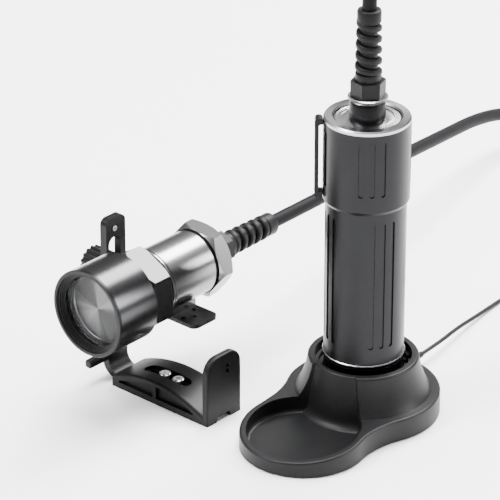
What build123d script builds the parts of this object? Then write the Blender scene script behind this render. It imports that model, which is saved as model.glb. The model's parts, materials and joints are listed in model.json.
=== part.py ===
"""Umbilical underwater lamp: a lamp head on a hand mount, joined by a cable to a battery
canister that stands in its charging dock. Millimetres, +Z up, origin on the canister's axis
at the foot of the dock, +X along the lamp from its lens to its cable."""
import os
from math import cos, pi, radians, sin, sqrt, tan

from build123d import *

# ---- driving dimensions -------------------------------------------------------------------
LID_R = 30.0                 # battery canister: lid radius
TUBE_R = 28.1                # its lower tube
CAP_R = 27.8                 # its bottom cap, which goes into the dock
CAP_Z = 7.2                  # underside of the bottom cap
TUBE_Z = 48.5                # lower end of the tube
SEAM_Z = 163.5               # where lid and tube meet
LID_TOP = 226.0              # polished top face of the lid
WALL = 2.2                   # canister wall

DOCK_TURN = 4.0              # the dock's long axis, degrees from +X
DISC_R = 54.4                # round foot of the dock
TRAY_R = 44.5                # round end of its tray
TRAY_X = -69.0               # centre of that end, along the dock's axis
WAIST_R = 70.0               # inward curve between the two
BAND_Z = 17.0                # top of the outer wall at the round foot
BAND_END_Z = 11.0            # and at the tray's far end
RIM_Z = 44.0                 # top of the socket
SOCKET_R = 34.0              # bore of the socket
TRAY_FLOOR = 4.6             # floor of the tray
DOCK_SCREW_RING = 45.0       # pitch radius of the screws that hold the base plate
PIN_RING = 13.0              # where the charging pins stand
LEAD_Z = 9.5                 # height at which the charging lead leaves
BOOT_LONG = 27.0             # its boot
TRAY_RIM = 4.6               # width of the tray's rim

LAMP = (-146.0, 126.0, 87.0)  # centre of the lamp's front rim
HEAD_R = 31.9                # barrel of the lamp head
HEAD_CORNER_R = 31.2         # its hexagonal grip, across corners
BODY_R = 23.7                # silver tube behind the head
NUT_CORNER_R = 28.2          # rear nut, across corners
NUT_END = 122.0              # rear face of that nut, along the lamp

CABLE_R = 5.0                # umbilical cable
LEAD_R = 1.5                 # charging lead
GLAND_HEX_R = 12.2           # cable gland, across corners
GLAND_LONG = 62.0            # gland from its hexagon to the end of its bend relief
RIB_PITCH = 8.0              # turns of the bend relief

HAND_X = -77.0               # middle of the hand mount
SLOT_X = -1.3                # the slots run this far from that middle
PALM_WIDE = 35.0             # palm plate, along the lamp
PALM_Y = (61.5, 153.5)       # its two ends
PALM_TOP = 17.5              # top of its arch
END_THICK = 4.5              # upright plate at the palm's open end
END_TOP = 51.0
ARM_Y = (164.0, 170.0)       # slotted arm, inner and outer face
ARM_WIDE = 19.4
ARM_TOP = 123.7
PLATE_Z = (57.5, 60.5)       # cross plate under the lamp
STUD_Z = 82.0                # clamping stud of the height knob

os.makedirs("parts", exist_ok=True)


def side_of(base):
    """The plane through a base plane's axis: x is the radius and y the height above the base."""
    return Plane(base.origin, x_dir=base.x_dir, z_dir=-base.y_dir)


def axis_of(base):
    return Axis(base.origin, base.z_dir)


def save(builder, name):
    builder.part.label = name
    export_step(builder.part, f"parts/{name}.step")


def tangent_radii(points):
    """The largest arc at each corner of a route that leaves both its runs mostly straight."""
    spots = [Vector(*p) for p in points]
    radii = []
    for before, here, after in zip(spots, spots[1:], spots[2:]):
        turn = radians((here - before).get_angle(after - here))
        shorter = min((here - before).length, (after - here).length)
        radii.append(0.45 * shorter / tan(turn / 2))
    return radii


canister = Plane.XY
dock = Plane.XY.rotated((0, 0, DOCK_TURN))
lead_out = Plane(dock.from_local_coords((DISC_R - 6, 2.5, LEAD_Z)), x_dir=dock.y_dir,
                 z_dir=dock.x_dir)
lamp = Plane(LAMP, x_dir=(0, 1, 0), z_dir=(1, 0, 0))

# ---- dock ---------------------------------------------------------------------------------
# The plan is a round foot and a round tray, joined by inward curves that touch both.
waist_x = -(TRAY_X**2 + (DISC_R + WAIST_R) ** 2 - (TRAY_R + WAIST_R) ** 2) / (-2 * TRAY_X)
waist_y = sqrt((DISC_R + WAIST_R) ** 2 - waist_x**2)
on_disc = (waist_x * DISC_R / (DISC_R + WAIST_R), waist_y * DISC_R / (DISC_R + WAIST_R))
on_tray = (TRAY_X + (waist_x - TRAY_X) * TRAY_R / (TRAY_R + WAIST_R),
           waist_y * TRAY_R / (TRAY_R + WAIST_R))
with BuildSketch() as dock_plan:
    with BuildLine():
        ThreePointArc((on_disc[0], -on_disc[1]), (DISC_R, 0), on_disc)
        ThreePointArc(on_disc, (waist_x, waist_y - WAIST_R), on_tray)
        ThreePointArc(on_tray, (TRAY_X - TRAY_R, 0), (on_tray[0], -on_tray[1]))
        ThreePointArc((on_tray[0], -on_tray[1]), (waist_x, WAIST_R - waist_y),
                      (on_disc[0], -on_disc[1]))
    make_face()
with BuildSketch() as dock_plan_inner:
    add(dock_plan.sketch)
    offset(amount=-3.0, mode=Mode.REPLACE)

# What is hollow under the shell: the space round the socket, kept clear of the tray.
with BuildPart() as dock_hollow:
    with BuildSketch(side_of(dock)):
        Polygon((37.0, 3.6), (50.8, 3.6), (50.8, 13.4), (46.0, 14.0), (38.2, 32.0), (37.0, 32.0))
    revolve(axis=axis_of(dock))
    with BuildSketch(dock):
        with Locations((TRAY_X, 0)):
            Circle(TRAY_R + 0.5)
        with PolarLocations(DOCK_SCREW_RING, 4, start_angle=45):
            Circle(3.4)
    extrude(amount=RIM_Z, mode=Mode.SUBTRACT)

with BuildPart() as dock_shell:
    with BuildSketch(dock.offset(0.8)):
        add(dock_plan.sketch)
    extrude(amount=BAND_Z - 0.8)
    with BuildSketch(side_of(dock)):
        with BuildLine():
            Line((-DISC_R, BAND_Z), (TRAY_X - TRAY_R - 1, BAND_END_Z))
            Polyline((TRAY_X - TRAY_R - 1, BAND_END_Z), (TRAY_X - TRAY_R - 1, BAND_Z + 1),
                     (-DISC_R, BAND_Z + 1), (-DISC_R, BAND_Z))
        make_face()
    extrude(amount=DISC_R, both=True, mode=Mode.SUBTRACT)
    band_edges = dock_shell.edges().filter_by(lambda e: e.bounding_box().min.Z > BAND_END_Z - 0.6)
    fillet(band_edges, radius=1.6)
    with BuildSketch(side_of(dock)):
        with BuildLine():
            Polyline((0, 6.0), (0, RIM_Z), (37.4, RIM_Z))
            RadiusArc((37.4, RIM_Z), (39.2, RIM_Z - 2.2), 2.2)
            Spline((39.2, RIM_Z - 2.2), (42.4, 28.0), (48.6, BAND_Z - 1.0),
                   tangents=((0.1, -1), (0.8, -1)))
            Polyline((48.6, BAND_Z - 1.0), (48.6, 6.0), (0, 6.0))
        make_face()
    revolve(axis=axis_of(dock))
    with BuildSketch(dock.offset(TRAY_FLOOR)):
        with Locations((TRAY_X, 0)):
            Circle(TRAY_R - TRAY_RIM)
    extrude(amount=RIM_Z, mode=Mode.SUBTRACT)
    tray_floor_edge = dock_shell.edges().filter_by(
        lambda e: abs(e.center().Z - TRAY_FLOOR) < 0.1 and e.length > 100)
    fillet(tray_floor_edge, radius=2.8)
    with BuildSketch(side_of(dock)):
        with BuildLine():
            Polyline((0, 2.8), (0, RIM_Z), (36.2, RIM_Z))
            RadiusArc((36.2, RIM_Z), (37.6, RIM_Z - 1.6), 1.6)
            Line((37.6, RIM_Z - 1.6), (41.4, 11.0))
            RadiusArc((41.4, 11.0), (46.6, TRAY_FLOOR - 0.4), -8.0)
            Polyline((46.6, TRAY_FLOOR - 0.4), (46.6, 2.8), (0, 2.8))
        make_face()
    revolve(axis=axis_of(dock))
    with BuildSketch(dock.offset(6.2)):
        Circle(SOCKET_R)
    extrude(amount=RIM_Z, mode=Mode.SUBTRACT)
    add(dock_hollow.part, mode=Mode.SUBTRACT)
    with BuildSketch(dock.offset(0.8)):
        add(dock_plan_inner.sketch)
    extrude(amount=2.2, mode=Mode.SUBTRACT)
    with BuildSketch(dock.offset(2.9)):
        Circle(21.3)
    extrude(amount=1.4, mode=Mode.SUBTRACT)
    with BuildSketch(dock.offset(3.0)):
        with PolarLocations(PIN_RING, 2):
            Circle(2.1)
    extrude(amount=6.0, mode=Mode.SUBTRACT)
    with BuildSketch(dock.offset(2.9)):
        with PolarLocations(DOCK_SCREW_RING, 4, start_angle=45):
            Circle(1.45)
    extrude(amount=7.4, mode=Mode.SUBTRACT)
    with BuildSketch(lead_out.offset(-0.2)):
        Circle(2.6)
    extrude(amount=9.0, mode=Mode.SUBTRACT)
save(dock_shell, "dock_shell")

with BuildPart() as dock_base_plate:
    with BuildSketch(dock.offset(0.8)):
        add(dock_plan_inner.sketch)
        offset(amount=-0.25, mode=Mode.REPLACE)
    extrude(amount=1.8)
    with BuildSketch(dock.offset(0.8)):
        with PolarLocations(DOCK_SCREW_RING, 4, start_angle=45):
            Circle(1.7)
    extrude(amount=2.0, mode=Mode.SUBTRACT)
save(dock_base_plate, "dock_base_plate")

with BuildPart() as dock_foot_pad:
    with BuildSketch(dock):
        add(dock_plan_inner.sketch)
        offset(amount=-1.5, mode=Mode.REPLACE)
    extrude(amount=0.8)
save(dock_foot_pad, "dock_foot_pad")

with BuildPart() as dock_screws:
    with BuildSketch(dock.offset(1.0)):
        with PolarLocations(DOCK_SCREW_RING, 4, start_angle=45):
            Circle(1.4)
    extrude(amount=9.0)
save(dock_screws, "dock_screws")

with BuildPart() as socket_liner:
    with BuildSketch(side_of(dock)):
        Polygon((28.6, 8.0), (33.8, 8.0), (33.8, 38.0), (31.4, 38.0), (31.4, 34.5), (28.6, 34.5))
    revolve(axis=axis_of(dock))
    with BuildSketch(Plane(dock.from_local_coords((0, 0, 30.0)), x_dir=dock.x_dir,
                           z_dir=dock.z_dir).rotated((0, 0, -44))):
        with Locations((31.5, 0)):
            Rectangle(8, 5)
    extrude(amount=10.0, mode=Mode.SUBTRACT)
save(socket_liner, "socket_liner")

with BuildPart() as charge_board:
    with BuildSketch(dock.offset(3.0)):
        Circle(21.0)
        with PolarLocations(PIN_RING, 2):
            Circle(2.1, mode=Mode.SUBTRACT)
        Circle(3.0, mode=Mode.SUBTRACT)
    extrude(amount=1.2)
save(charge_board, "charge_board")

with BuildPart() as charge_pins:
    with BuildSketch(dock.offset(3.2)):
        with PolarLocations(PIN_RING, 2):
            Circle(2.0)
    extrude(amount=3.0)
    with BuildSketch(dock.offset(6.2)):
        with PolarLocations(PIN_RING, 2):
            Circle(1.1)
    extrude(amount=0.8)
save(charge_pins, "charge_pins")

with BuildPart() as lead_boot:
    with BuildSketch(side_of(lead_out)):
        Polygon((LEAD_R + 0.02, 0), (3.6, 0), (3.6, 2.0), (2.5, 2.0), (2.5, 6.4), (3.4, 6.4),
                (3.4, 8.0), (2.1, BOOT_LONG), (LEAD_R + 0.02, BOOT_LONG))
    revolve(axis=axis_of(lead_out))
save(lead_boot, "lead_boot")

# ---- battery canister ---------------------------------------------------------------------
with BuildPart() as bottom_cap:
    with BuildSketch(side_of(canister)):
        Polygon((0, CAP_Z), (CAP_R - 1.2, CAP_Z), (CAP_R, CAP_Z + 1.2), (CAP_R, 44.6),
                (26.6, 45.2), (26.6, 46.2), (25.8, 46.2), (25.8, 60.0), (22.6, 60.0),
                (22.6, 12.0), (0, 12.0))
    revolve(axis=Axis.Z)
    with BuildSketch(canister.offset(CAP_Z)):
        Circle(15.0)
        Circle(11.0, mode=Mode.SUBTRACT)
        Circle(4.0)
    extrude(amount=1.0, mode=Mode.SUBTRACT)
    with BuildSketch(side_of(canister)):
        with Locations((25.9, 53.0)):
            Rectangle(1.8, 2.4)
    revolve(axis=Axis.Z, mode=Mode.SUBTRACT)
save(bottom_cap, "bottom_cap")

with BuildPart() as contact_rings:
    with BuildSketch(canister.offset(CAP_Z + 0.1)):
        Circle(14.9)
        Circle(11.1, mode=Mode.SUBTRACT)
        Circle(3.9)
    extrude(amount=0.8)
save(contact_rings, "contact_rings")

with BuildPart() as tube_end_ring:
    with BuildSketch(side_of(canister)):
        Polygon((25.85, 46.3), (27.6, 46.3), (28.9, 47.4), (28.9, 48.2), (28.6, TUBE_Z),
                (25.85, TUBE_Z))
    revolve(axis=Axis.Z)
save(tube_end_ring, "tube_end_ring")


def long_flutes(radius, bottom, top, first_angle, pitch):
    """Planes of the triple flutes on a tube, four sets round it."""
    return [Plane((radius * cos(a), radius * sin(a), (bottom + top) / 2), x_dir=(0, 0, 1),
                  z_dir=(cos(a), sin(a), 0))
            for k in range(4) for a in [radians(first_angle + 90 * k + pitch * i)
                                        for i in (-1, 0, 1)]]


TUBE_FLUTES = dict(bottom=60.6, top=156.4, first_angle=245, pitch=15.5)
LID_FLUTES = dict(bottom=177.4, top=218.0, first_angle=227, pitch=14.6)
FLUTE_WIDE, FLUTE_DEEP = 3.6, 0.9

with BuildPart() as canister_tube:
    with BuildSketch(side_of(canister)):
        Polygon((TUBE_R - WALL, TUBE_Z), (TUBE_R, TUBE_Z), (TUBE_R, SEAM_Z), (26.4, SEAM_Z),
                (26.4, SEAM_Z + 18), (24.4, SEAM_Z + 18), (24.4, SEAM_Z - 2),
                (TUBE_R - WALL, SEAM_Z - 4))
    revolve(axis=Axis.Z)
    with BuildSketch(*long_flutes(TUBE_R, **TUBE_FLUTES)):
        SlotOverall(TUBE_FLUTES["top"] - TUBE_FLUTES["bottom"], FLUTE_WIDE)
    extrude(amount=-FLUTE_DEEP, mode=Mode.SUBTRACT)
    with BuildSketch(side_of(canister)):
        with Locations((26.5, SEAM_Z + 5), (26.5, SEAM_Z + 10)):
            Rectangle(2.2, 2.2)
    revolve(axis=Axis.Z, mode=Mode.SUBTRACT)
save(canister_tube, "canister_tube")

with BuildPart() as seam_orings:
    with BuildSketch(side_of(canister)):
        with Locations((26.08, SEAM_Z + 5), (26.08, SEAM_Z + 10)):
            Circle(0.64)
    revolve(axis=Axis.Z)
save(seam_orings, "seam_orings")

with BuildPart() as cap_oring:
    with BuildSketch(side_of(canister)):
        with Locations((25.46, 53.0)):
            Circle(0.43)
    revolve(axis=Axis.Z)
save(cap_oring, "cap_oring")

CELL_R, CELL_LONG, CELL_RING = 10.6, 70.0, 12.35
with BuildPart() as battery_cells:
    for level in (63.0, 63.0 + CELL_LONG + 2.4):
        with BuildSketch(canister.offset(level)):
            with PolarLocations(CELL_RING, 3, start_angle=30):
                Circle(CELL_R - 0.1)
        extrude(amount=CELL_LONG - 1.2)
        with BuildSketch(canister.offset(level + CELL_LONG - 1.2)):
            with PolarLocations(CELL_RING, 3, start_angle=30):
                Circle(4.0)
        extrude(amount=1.2)
save(battery_cells, "battery_cells")

with BuildPart() as cell_holder:
    for level in (61.4, 63.0 + CELL_LONG + 0.2, 63.0 + 2 * CELL_LONG + 2.6):
        with BuildSketch(canister.offset(level)):
            Circle(23.4)
        extrude(amount=1.6)
    with BuildSketch(canister.offset(61.4)):
        with PolarLocations(19.6, 3, start_angle=90):
            Circle(1.45)
    extrude(amount=2 * CELL_LONG + 5.8)
save(cell_holder, "cell_holder")

CLIP_ANGLE = 132.0
clip_face = Plane((LID_R * cos(radians(CLIP_ANGLE)), LID_R * sin(radians(CLIP_ANGLE)), 0),
                  x_dir=(-sin(radians(CLIP_ANGLE)), cos(radians(CLIP_ANGLE)), 0),
                  z_dir=(cos(radians(CLIP_ANGLE)), sin(radians(CLIP_ANGLE)), 0))
clip_side = Plane(clip_face.origin, x_dir=clip_face.z_dir, z_dir=-clip_face.x_dir)
CLIP_Z = (165.6, 224.6)
CLIP_DEEP, CLIP_GAP, CLIP_FOOT = 5.6, 2.8, 4.4
CLIP_SCREWS = ((0, CLIP_Z[0] + CLIP_FOOT / 2), (0, CLIP_Z[1] - CLIP_FOOT / 2 - 1.6))
clip_middle = (CLIP_Z[0] + CLIP_Z[1]) / 2
clip_long = CLIP_Z[1] - CLIP_Z[0]

with BuildPart() as canister_lid:
    with BuildSketch(side_of(canister)):
        Polygon((26.8, SEAM_Z + 0.3), (28.9, SEAM_Z + 0.3), (LID_R, SEAM_Z + 2.6),
                (LID_R, 223.0), (0, 223.0), (0, 214.0), (26.8, 214.0))
    revolve(axis=Axis.Z)
    with BuildSketch(*long_flutes(LID_R, **LID_FLUTES)):
        SlotOverall(LID_FLUTES["top"] - LID_FLUTES["bottom"], FLUTE_WIDE)
    extrude(amount=-FLUTE_DEEP, mode=Mode.SUBTRACT)
    with BuildSketch(canister.offset(214.0)):
        Circle(6.0)
    extrude(amount=9.0, mode=Mode.SUBTRACT)
    with BuildSketch(canister.offset(219.4)):
        Circle(22.9)
    extrude(amount=4.0, mode=Mode.SUBTRACT)
    with BuildSketch(clip_face.offset(1.0)):
        with Locations(*CLIP_SCREWS):
            Circle(1.02)
    extrude(amount=-3.1, mode=Mode.SUBTRACT)
save(canister_lid, "canister_lid")

with BuildPart() as lid_top_ring:
    with BuildSketch(side_of(canister)):
        Polygon((23.0, 223.0), (29.9, 223.0), (29.9, 225.0), (28.9, LID_TOP), (24.2, LID_TOP),
                (23.0, 224.9))
    revolve(axis=Axis.Z)
save(lid_top_ring, "lid_top_ring")

with BuildPart() as cable_port:
    with BuildSketch(side_of(canister)):
        Polygon((6.0, 219.4), (22.4, 219.4), (22.4, 224.3), (18.2, 225.0), (17.8, 224.4),
                (12.4, 224.4), (12.4, 236.4), (11.6, 237.4), (11.6, 238.2), (13.8, 238.8),
                (13.8, 240.2), (12.6, 240.8), (6.0, 240.8))
    revolve(axis=Axis.Z)
save(cable_port, "cable_port")

with BuildPart() as lid_contact_board:
    with BuildSketch(canister.offset(212.4)):
        Circle(25.6)
        Circle(4.0, mode=Mode.SUBTRACT)
    extrude(amount=1.6)
save(lid_contact_board, "lid_contact_board")

with BuildPart() as contact_spring:
    with BuildSketch(side_of(canister)):
        with Locations((9.0, 208.4), (8.0, 210.0), (7.0, 211.5)):
            Circle(0.75)
    revolve(axis=Axis.Z)
save(contact_spring, "contact_spring")

with BuildPart() as belt_loop:
    with BuildSketch(clip_side):
        with Locations((CLIP_DEEP / 2, clip_middle)):
            RectangleRounded(CLIP_DEEP, clip_long, 2.4)
        with Locations((CLIP_GAP - 2.1, clip_middle)):
            RectangleRounded(4.2, clip_long - 2 * CLIP_FOOT, 1.3, mode=Mode.SUBTRACT)
    extrude(amount=4.0, both=True)
    with BuildSketch(canister.offset(160.0)):
        Circle(LID_R + 0.02)
    extrude(amount=70.0, mode=Mode.SUBTRACT)
    with BuildSketch(clip_face.offset(CLIP_DEEP)):
        with Locations(*CLIP_SCREWS):
            Circle(1.65)
    extrude(amount=-1.7, mode=Mode.SUBTRACT)
    with BuildSketch(clip_face.offset(CLIP_DEEP)):
        with Locations(*CLIP_SCREWS):
            Circle(1.02)
    extrude(amount=-6.6, mode=Mode.SUBTRACT)
save(belt_loop, "belt_loop")

with BuildPart() as belt_loop_screws:
    with BuildSketch(clip_face.offset(-2.0)):
        with Locations(*CLIP_SCREWS):
            Circle(1.0)
    extrude(amount=6.0)
    with BuildSketch(clip_face.offset(CLIP_DEEP - 1.65)):
        with Locations(*CLIP_SCREWS):
            Circle(1.6)
    extrude(amount=1.4)
save(belt_loop_screws, "belt_loop_screws")


# ---- cable glands -------------------------------------------------------------------------
def gland_body(base):
    """Hexagon body of a cable gland; the base plane is the face that it is screwed against."""
    with BuildPart() as body:
        with BuildSketch(base):
            RegularPolygon(GLAND_HEX_R, 6, rotation=20)
            Circle(CABLE_R + 0.02, mode=Mode.SUBTRACT)
        extrude(amount=11.0)
        chamfer(body.edges().group_by(SortBy.LENGTH)[-1], length=0.5)
        with BuildSketch(side_of(base)):
            Polygon((9.0, 11.0), (CABLE_R + 0.02, 11.0), (CABLE_R + 0.02, 14.6), (9.0, 14.6))
        revolve(axis=axis_of(base))
    return body


def bend_relief(base):
    """Ribbed bend relief: a slim sleeve with five ribs and an end collar."""
    start = 14.6
    with BuildPart() as relief:
        with BuildSketch(side_of(base)):
            Polygon((CABLE_R + 0.02, start), (6.4, start), (5.9, GLAND_LONG - 10),
                    (5.9, GLAND_LONG), (CABLE_R + 0.02, GLAND_LONG))
        revolve(axis=axis_of(base))
        for turn in range(5):
            low = start + 0.4 + turn * RIB_PITCH * 0.94
            wide = 9.4 - 0.28 * turn
            with BuildSketch(side_of(base)):
                Polygon((5.6, low), (wide - 0.5, low), (wide, low + 1.6), (wide - 0.3, low + 4.4),
                        (5.6, low + 4.8))
            revolve(axis=axis_of(base))
        with BuildSketch(side_of(base)):
            Polygon((5.6, GLAND_LONG - 9.4), (8.0, GLAND_LONG - 9.4), (8.2, GLAND_LONG - 0.8),
                    (7.6, GLAND_LONG), (5.6, GLAND_LONG))
        revolve(axis=axis_of(base))
    return relief


canister_gland = canister.offset(240.8)
lamp_gland = lamp.offset(NUT_END + 6.5)
for place, base in (("canister", canister_gland), ("lamp", lamp_gland)):
    save(gland_body(base), f"{place}_gland")
    save(bend_relief(base), f"{place}_bend_relief")

# ---- lamp ---------------------------------------------------------------------------------
# Heights on this side plane are distances behind the front rim.


def turned(name, *outline):
    """A piece turned about the lamp's axis, from (radius, distance behind the rim) corners."""
    with BuildPart() as piece:
        with BuildSketch(side_of(lamp)):
            Polygon(*outline)
        revolve(axis=axis_of(lamp))
    save(piece, name)
    return piece


turned("lamp_front_ring", (29.3, 0), (31.6, 0), (HEAD_R, 0.4), (HEAD_R, 2.1), (30.6, 2.1),
       (30.6, 8.0), (29.3, 8.0))
turned("lens_collar", (28.7, 0.5), (29.25, 0.5), (29.25, 6.0), (25.5, 6.0), (25.5, 5.6))
turned("lamp_lens", (0, 6.1), (29.0, 6.1), (29.0, 10.6), (0, 10.6))
turned("lamp_core", (20.8, 42.0), (24.2, 42.0), (24.2, 45.0), (22.8, 45.0), (22.8, 46.8),
       (24.2, 46.8), (24.2, 50.0), (22.8, 50.0), (22.8, 51.8), (24.2, 51.8), (24.2, 61.3),
       (22.6, 61.3), (22.6, 110.0), (20.8, 110.0))
turned("lamp_ridge_ring", (22.65, 61.4), (24.9, 61.4), (24.9, 62.6), (24.1, 62.8), (24.1, 63.8),
       (24.9, 64.0), (24.9, 65.2), (22.65, 65.2))
turned("lamp_body_tube", (22.65, 65.4), (BODY_R, 65.4), (BODY_R, 105.9), (22.65, 105.9))

with BuildPart() as lens_oring:
    with BuildSketch(side_of(lamp)):
        with Locations((28.3, 11.35)):
            Circle(0.7)
    revolve(axis=axis_of(lamp))
save(lens_oring, "lens_oring")

with BuildPart() as spigot_orings:
    with BuildSketch(side_of(lamp)):
        with Locations((23.55, 45.9), (23.55, 50.9)):
            Circle(0.7)
    revolve(axis=axis_of(lamp))
save(spigot_orings, "spigot_orings")

with BuildPart() as lamp_head_shell:
    with BuildSketch(side_of(lamp)):
        Polygon((26.0, 2.2), (HEAD_R, 2.2), (HEAD_R, 37.2), (29.0, 39.6), (26.0, 39.6))
    revolve(axis=axis_of(lamp))
    with BuildSketch(lamp.offset(39.0)):
        RegularPolygon(HEAD_CORNER_R, 6, rotation=27)
    extrude(amount=18.4)
    with BuildSketch(side_of(lamp)):
        Polygon((29.0, 39.5), (31.4, 41.6), (33.0, 41.6), (33.0, 38.2), (30.6, 38.2))
        Polygon((31.4, 55.4), (28.6, 57.4), (28.6, 58.4), (33.0, 58.4), (33.0, 55.4))
    revolve(axis=axis_of(lamp), mode=Mode.SUBTRACT)
    with BuildSketch(side_of(lamp)):
        Polygon((0, 0), (30.65, 0), (30.65, 8.2), (29.1, 8.2), (29.1, 12.1), (27.5, 12.1),
                (27.5, 36.5), (24.6, 38.0), (24.6, 58.4), (0, 58.4))
    revolve(axis=axis_of(lamp), mode=Mode.SUBTRACT)
save(lamp_head_shell, "lamp_head_shell")

with BuildPart() as reflector:
    with BuildSketch(side_of(lamp)):
        with BuildLine():
            Line((26.2, 12.4), (27.2, 12.4))
            Spline((27.2, 12.4), (20.4, 24.5), (8.6, 32.9))
            Line((8.6, 32.9), (7.6, 32.9))
            Spline((7.6, 32.9), (19.4, 24.2), (26.2, 12.4))
        make_face()
    revolve(axis=axis_of(lamp))
save(reflector, "reflector")

with BuildPart() as led_board:
    with BuildSketch(lamp.offset(33.1)):
        Circle(24.0)
        with PolarLocations(18.0, 2):
            Circle(1.6, mode=Mode.SUBTRACT)
    extrude(amount=1.6)
save(led_board, "led_board")

with BuildPart() as led_emitters:
    with BuildSketch(lamp.offset(30.4)):
        with GridLocations(6.0, 6.0, 2, 2):
            Circle(2.4)
    extrude(amount=2.6)
save(led_emitters, "led_emitters")

with BuildPart() as heat_sink:
    with BuildSketch(lamp.offset(34.8)):
        Circle(24.0)
    extrude(amount=6.4)
    with BuildSketch(lamp.offset(36.4)):
        with GridLocations(7.0, 0, 5, 1):
            Rectangle(3.0, 60.0)
    extrude(amount=5.0, mode=Mode.SUBTRACT)
save(heat_sink, "heat_sink")

with BuildPart() as driver_board:
    with BuildSketch(lamp.offset(66.0)):
        with Locations((0, 0)):
            Rectangle(38.0, 1.6)
    extrude(amount=36.0)
save(driver_board, "driver_board")

with BuildPart() as driver_parts:
    with BuildSketch(lamp.offset(70.0)):
        with Locations((-9.0, 5.9)):
            Rectangle(12.0, 10.0)
    extrude(amount=12.0)
    with BuildSketch(lamp.offset(86.0)):
        with Locations((8.0, 5.4)):
            Circle(4.5)
    extrude(amount=14.0)
save(driver_parts, "driver_parts")

with BuildPart() as lamp_rear_nut:
    with BuildSketch(lamp.offset(108.4)):
        RegularPolygon(NUT_CORNER_R, 6, rotation=7)
    extrude(amount=NUT_END - 108.4)
    with BuildSketch(side_of(lamp)):
        Polygon((24.5, 108.4), (28.4, 111.6), (30.0, 111.6), (30.0, 107.0), (24.5, 107.0))
        Polygon((28.4, 118.6), (24.2, NUT_END), (24.2, 124.0), (30.0, 124.0), (30.0, 118.6))
    revolve(axis=axis_of(lamp), mode=Mode.SUBTRACT)
    with BuildSketch(side_of(lamp)):
        Polygon((CABLE_R + 0.02, 120.0), (9.6, 120.0), (9.6, 127.6), (8.8, 128.5),
                (CABLE_R + 0.02, 128.5))
    revolve(axis=axis_of(lamp))
    with BuildSketch(side_of(lamp)):
        Polygon((0, 107.0), (22.65, 107.0), (22.65, 110.1), (19.5, 110.1), (19.5, 118.0),
                (CABLE_R + 0.02, 118.0), (CABLE_R + 0.02, 129.0), (0, 129.0))
    revolve(axis=axis_of(lamp), mode=Mode.SUBTRACT)
save(lamp_rear_nut, "lamp_rear_nut")

# ---- hand mount ---------------------------------------------------------------------------
hand_side = Plane((HAND_X, 0, 0), x_dir=(0, 1, 0), z_dir=(1, 0, 0))


def facing(y):
    """The upright plane at this y that looks towards -Y, with its middle at the hand mount."""
    return Plane((HAND_X, y, 0), x_dir=(1, 0, 0), z_dir=(0, -1, 0))


SADDLE_X = (-75.5, -47.0)
SADDLE_SCREWS = ((-68.0, 126.0), (-54.5, 126.0))
with BuildPart() as cross_plate:
    with BuildSketch(Plane.XY.offset(PLATE_Z[0])):
        with Locations((-60.75, 126.0)):
            RectangleRounded(25.5, 67.0, 5.0)
        with Locations((-68.0, 149.2)):
            Rectangle(38.0, 29.0)
    extrude(amount=PLATE_Z[1] - PLATE_Z[0])
    with BuildSketch(facing(158.5)):
        with Locations((0, 73.75)):
            RectangleRounded(19.4, 32.5, 4.0)
        with Locations((0, 61.0)):
            Rectangle(19.4, 7.0)
    extrude(amount=-5.2)
    with BuildSketch(facing(158.5)):
        with Locations((SLOT_X, STUD_Z)):
            Circle(4.1)
    extrude(amount=-5.2, mode=Mode.SUBTRACT)
    with BuildSketch(Plane.XY.offset(PLATE_Z[0])):
        with Locations(*SADDLE_SCREWS):
            Circle(2.1)
    extrude(amount=4.0, mode=Mode.SUBTRACT)
save(cross_plate, "cross_plate")

with BuildPart() as lamp_saddle:
    with BuildSketch(Plane(((SADDLE_X[0] + SADDLE_X[1]) / 2, 126.0, PLATE_Z[1]))):
        RectangleRounded(SADDLE_X[1] - SADDLE_X[0], 23.0, 2.0)
    extrude(amount=5.4)
    with BuildSketch(lamp.offset(60.0)):
        Circle(BODY_R + 0.02)
    extrude(amount=50.0, mode=Mode.SUBTRACT)
    with BuildSketch(Plane.XY.offset(PLATE_Z[1])):
        with Locations(*SADDLE_SCREWS):
            Circle(2.02)
    extrude(amount=2.0, mode=Mode.SUBTRACT)
save(lamp_saddle, "lamp_saddle")

with BuildPart() as saddle_screws:
    with BuildSketch(Plane.XY.offset(PLATE_Z[0] - 2.2)):
        with Locations(*SADDLE_SCREWS):
            Circle(3.6)
            RegularPolygon(1.7, 6, mode=Mode.SUBTRACT)
    extrude(amount=1.4)
    with BuildSketch(Plane.XY.offset(PLATE_Z[0] - 0.8)):
        with Locations(*SADDLE_SCREWS):
            Circle(3.6)
    extrude(amount=0.8)
    with BuildSketch(Plane.XY.offset(PLATE_Z[0])):
        with Locations(*SADDLE_SCREWS):
            Circle(2.0)
    extrude(amount=4.8)
save(saddle_screws, "saddle_screws")

with BuildPart() as height_stud:
    with BuildSketch(facing(158.5)):
        with Locations((SLOT_X, STUD_Z)):
            RegularPolygon(6.6, 6, rotation=30)
    extrude(amount=4.4)
    with BuildSketch(facing(158.5)):
        with Locations((SLOT_X, STUD_Z)):
            Circle(4.0)
    extrude(amount=-26.5)
save(height_stud, "height_stud")

with BuildPart() as slot_bush:
    with BuildSketch(facing(163.75)):
        with Locations((SLOT_X, STUD_Z)):
            Circle(5.3)
            Circle(4.05, mode=Mode.SUBTRACT)
    extrude(amount=-6.75)
save(slot_bush, "slot_bush")

with BuildPart() as knob_washer:
    with BuildSketch(facing(170.5)):
        with Locations((SLOT_X, STUD_Z)):
            Circle(9.0)
            Circle(4.05, mode=Mode.SUBTRACT)
    extrude(amount=-1.2)
save(knob_washer, "knob_washer")

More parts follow.
